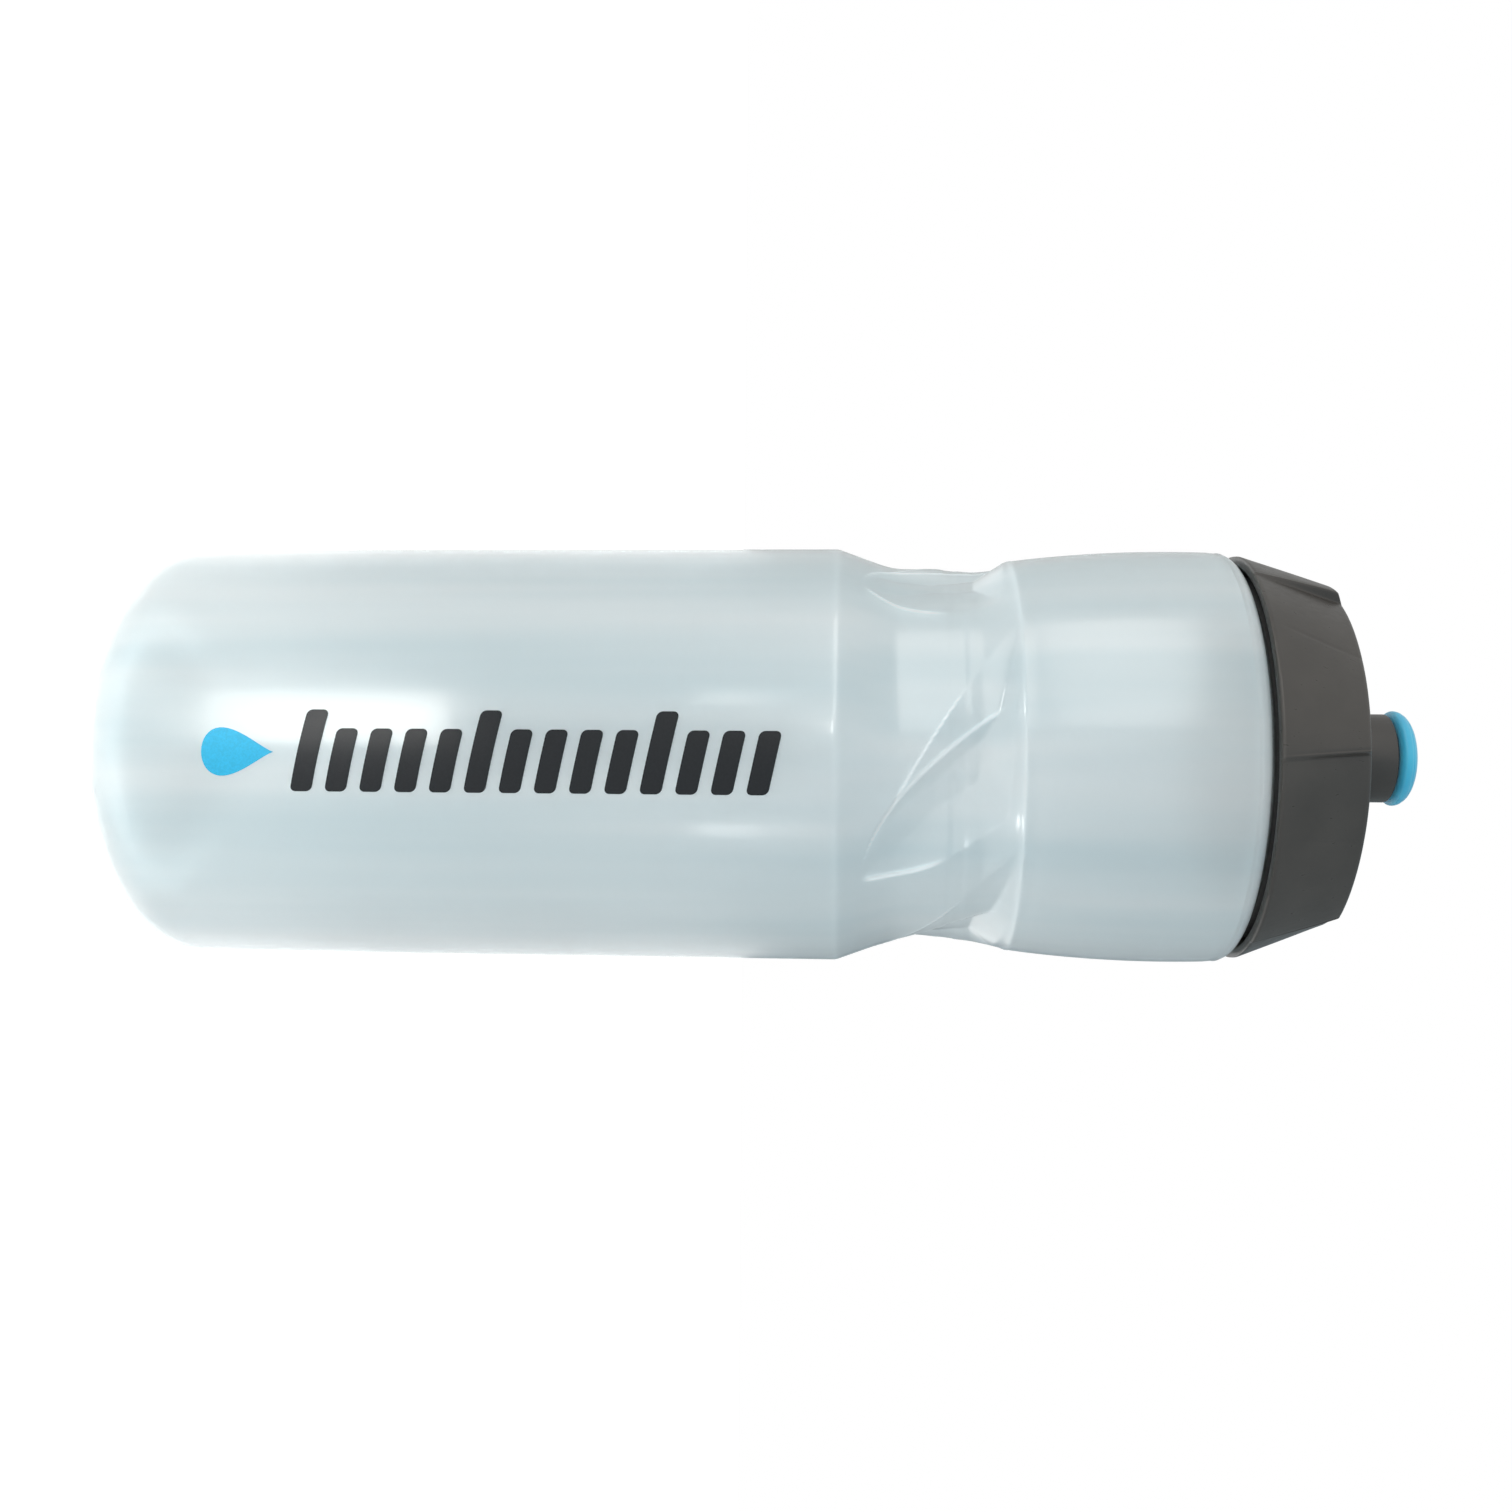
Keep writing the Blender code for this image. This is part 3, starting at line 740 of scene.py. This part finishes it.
def soft_elastomer():
    made, nodes, links, shader = new_material("soft_blue_elastomer")
    shader.inputs["Subsurface Weight"].default_value = 0.35
    shader.inputs["Subsurface Scale"].default_value = 0.0015
    shader.inputs["Subsurface Radius"].default_value = (0.4, 0.9, 1.0)
    shader.inputs["Sheen Weight"].default_value = 0.25
    even = position(nodes, links)
    cloud = noise(nodes, links, even, 220, 3)
    tints = [(0.3, (0.045, 0.47, 0.72)), (0.7, (0.065, 0.54, 0.78))]
    links.new(colours(nodes, links, cloud, tints), shader.inputs["Base Color"])
    links.new(spread(nodes, links, cloud, 0.36, 0.46), shader.inputs["Roughness"])
    grain = noise(nodes, links, even, 5000, 2)
    bump(nodes, links, shader, [(grain, 0.35, 0.03 * MM)])
    return made


def ink(name, colour):
    made, nodes, links, shader = new_material(name)
    even = position(nodes, links)
    shader.inputs["Specular IOR Level"].default_value = 0.2
    speck = noise(nodes, links, even, 3000, 2)
    low = tuple(c * 0.85 for c in colour)
    links.new(colours(nodes, links, speck, [(0.3, low), (0.7, colour)]), shader.inputs["Base Color"])
    links.new(spread(nodes, links, speck, 0.3, 0.42), shader.inputs["Roughness"])
    bump(nodes, links, shader, [(speck, 0.2, 0.01 * MM)])
    return made


# ---------------------------------------------------------------- studio

def make_floor():
    """A pale floor that glows, brightest round the foot: a painted pool of light, which also lights the foot
    from below.
    """
    size = 1.5
    mesh = bpy.data.meshes.new("studio_floor")
    build = bmesh.new()
    bmesh.ops.create_grid(build, x_segments=8, y_segments=8, size=size)
    build.to_mesh(mesh)
    build.free()
    floor = bpy.data.objects.new("studio_floor", mesh)
    bpy.context.scene.collection.objects.link(floor)
    made, nodes, links, shader = new_material("pale_floor")
    shader.inputs["Base Color"].default_value = (0.9, 0.9, 0.9, 1)
    shader.inputs["Roughness"].default_value = 0.8
    shader.inputs["Specular IOR Level"].default_value = 0.1
    shader.inputs["Emission Color"].default_value = (1, 0.99, 0.97, 1)
    middle = nodes.new("ShaderNodeVectorMath")
    middle.operation = "LENGTH"
    links.new(position(nodes, links), middle.inputs[0])
    # painted light: the floor glows all over, and strongest within 5 cm of the middle, weaker beyond 16 cm
    glow = spread(nodes, links, middle.outputs["Value"], 1.05, 0.6, 0.05, 0.16)
    links.new(glow, shader.inputs["Emission Strength"])
    mesh.materials.append(made)


def soft_light(name, bearing, distance, z, size, radiance, target_z, colour=(1, 1, 1), beam=180):
    """A rectangular light that faces the bottle's axis and shows only as a reflection.

    Its size is (across, along the bottle), and a beam under 180 degrees keeps its brightness straight ahead.
    """
    light = bpy.data.lights.new(name, "AREA")
    light.shape = "RECTANGLE"
    light.size, light.size_y = size
    light.energy = radiance * size[0] * size[1] * math.pi
    if beam < 180:
        light.spread = math.radians(beam)
        light.energy *= 1 - light.spread / 2 / math.tan(light.spread / 2)
    light.color = colour
    obj = bpy.data.objects.new(name, light)
    bpy.context.scene.collection.objects.link(obj)
    obj.location = at_bearing(bearing, distance, z)
    aim = Vector((0, 0, target_z)) - obj.location
    obj.rotation_euler = aim.to_track_quat("-Z", "Y").to_euler()
    obj.visible_camera = False
    obj.visible_diffuse = False
    obj.visible_transmission = False
    return obj


def make_world():
    """White to the camera. What lights the bottle is a soft gradient: bright and neutral on the -X side,
    darker and cooler towards +X, and dim behind."""
    world = bpy.data.worlds.new("studio")
    bpy.context.scene.world = world
    world.use_nodes = True
    nodes, links = world.node_tree.nodes, world.node_tree.links
    seen = nodes["Background"]
    seen.inputs["Color"].default_value = (1, 1, 1, 1)
    seen.inputs["Strength"].default_value = 1.0
    place = nodes.new("ShaderNodeTexCoord")
    split = nodes.new("ShaderNodeSeparateXYZ")
    links.new(place.outputs["Generated"], split.inputs["Vector"])
    share = spread(nodes, links, split.outputs["X"], 0, 1, -1, 1)
    stops = [
        (0, (0.88, 0.88, 0.86)), (0.40, (1.0, 1.0, 0.99)), (0.47, (0.98, 1.0, 1.0)),
        (0.49, (0.54, 0.63, 0.68)), (0.56, (0.50, 0.59, 0.64)), (1, (0.38, 0.43, 0.45)),
    ]
    depth = spread(nodes, links, split.outputs["Y"], 0, 1, -1, 1)
    falls = [
        (0, (1.08, 1.08, 1.08)), (0.5, (1.0, 1.0, 1.0)), (0.8, (0.68, 0.69, 0.69)), (1, (0.55, 0.56, 0.57)),
    ]
    both = nodes.new("ShaderNodeVectorMath")
    both.operation = "MULTIPLY"
    links.new(colours(nodes, links, share, stops), both.inputs[0])
    links.new(colours(nodes, links, depth, falls), both.inputs[1])
    lighting = nodes.new("ShaderNodeBackground")
    links.new(both.outputs["Vector"], lighting.inputs["Color"])
    path = nodes.new("ShaderNodeLightPath")
    mix = nodes.new("ShaderNodeMixShader")
    links.new(path.outputs["Is Camera Ray"], mix.inputs["Fac"])
    links.new(lighting.outputs["Background"], mix.inputs[1])
    links.new(seen.outputs["Background"], mix.inputs[2])
    links.new(mix.outputs["Shader"], nodes["World Output"].inputs["Surface"])


def make_studio():
    make_world()
    warm = (1, 0.97, 0.92)
    soft_light("key_strip", 15, 0.086, 0.025, (0.036, 0.048), 15, 0.025, warm, beam=70)
    soft_light("cap_window", 46, 0.40, 0.20, (0.46, 0.14), 2.2, 0.20, (1, 0.97, 0.93))
    soft_light("cone_glint", 13, 0.136, 0.127, (0.014, 0.007), 14, 0.127, warm, beam=60)
    soft_light("bulge_glint_right", 27, 0.136, 0.098, (0.014, 0.014), 26, 0.150, warm, beam=40)
    soft_light("bulge_glint_left", -35, 0.136, 0.098, (0.014, 0.014), 26, 0.150, beam=40)


def make_camera():
    """The camera in front of the bottle, turned so that the nozzle points to the right."""
    focal_pixels, image_pixels = 1497.7, 1512
    data = bpy.data.cameras.new("camera")
    data.sensor_width = 36
    data.lens = focal_pixels / image_pixels * 36
    data.clip_start = 0.01
    camera = bpy.data.objects.new("camera", data)
    bpy.context.scene.collection.objects.link(camera)
    distance, height, along = 0.2695, 0.0018, 0.126
    yaw, pitch, roll = -0.0618, 0.0081, -0.0069
    right, up, back = Vector((0, 0, 1)), Vector((-1, 0, 0)), Vector((0, -1, 0))
    turn = Matrix((right, up, back)).transposed()
    view = Matrix.Rotation(roll, 3, "Z") @ Matrix.Rotation(pitch, 3, "X") @ Matrix.Rotation(yaw, 3, "Y")
    rotation = turn @ view.transposed()
    place = up * height + back * distance + right * along
    camera.matrix_world = Matrix.Translation(place) @ rotation.to_4x4()
    bpy.context.scene.camera = camera


# ---------------------------------------------------------------- assembly

def main():
    bpy.context.scene.view_settings.view_transform = "Standard"
    make_camera()
    body = make_body()
    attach(body, "bottle")
    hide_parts("bottle_body")
    cap = make_cap()
    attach(cap, "cap")
    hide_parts("cap_shell")
    seal = make_seal()
    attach(seal, "seal")
    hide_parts("cap_seal_ring")
    for piece in make_plug():
        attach(piece, "cap")
        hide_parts("valve_plug")
    stem = make_stem()
    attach(stem, "nozzle")
    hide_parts("valve_stem")
    tip = make_tip()
    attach(tip, "nozzle")
    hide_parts("mouthpiece")
    for front in (True, False):
        bars, drop = make_print(front)
        for piece in (bars, drop):
            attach(piece, "bottle")
    make_floor()
    make_studio()


main()
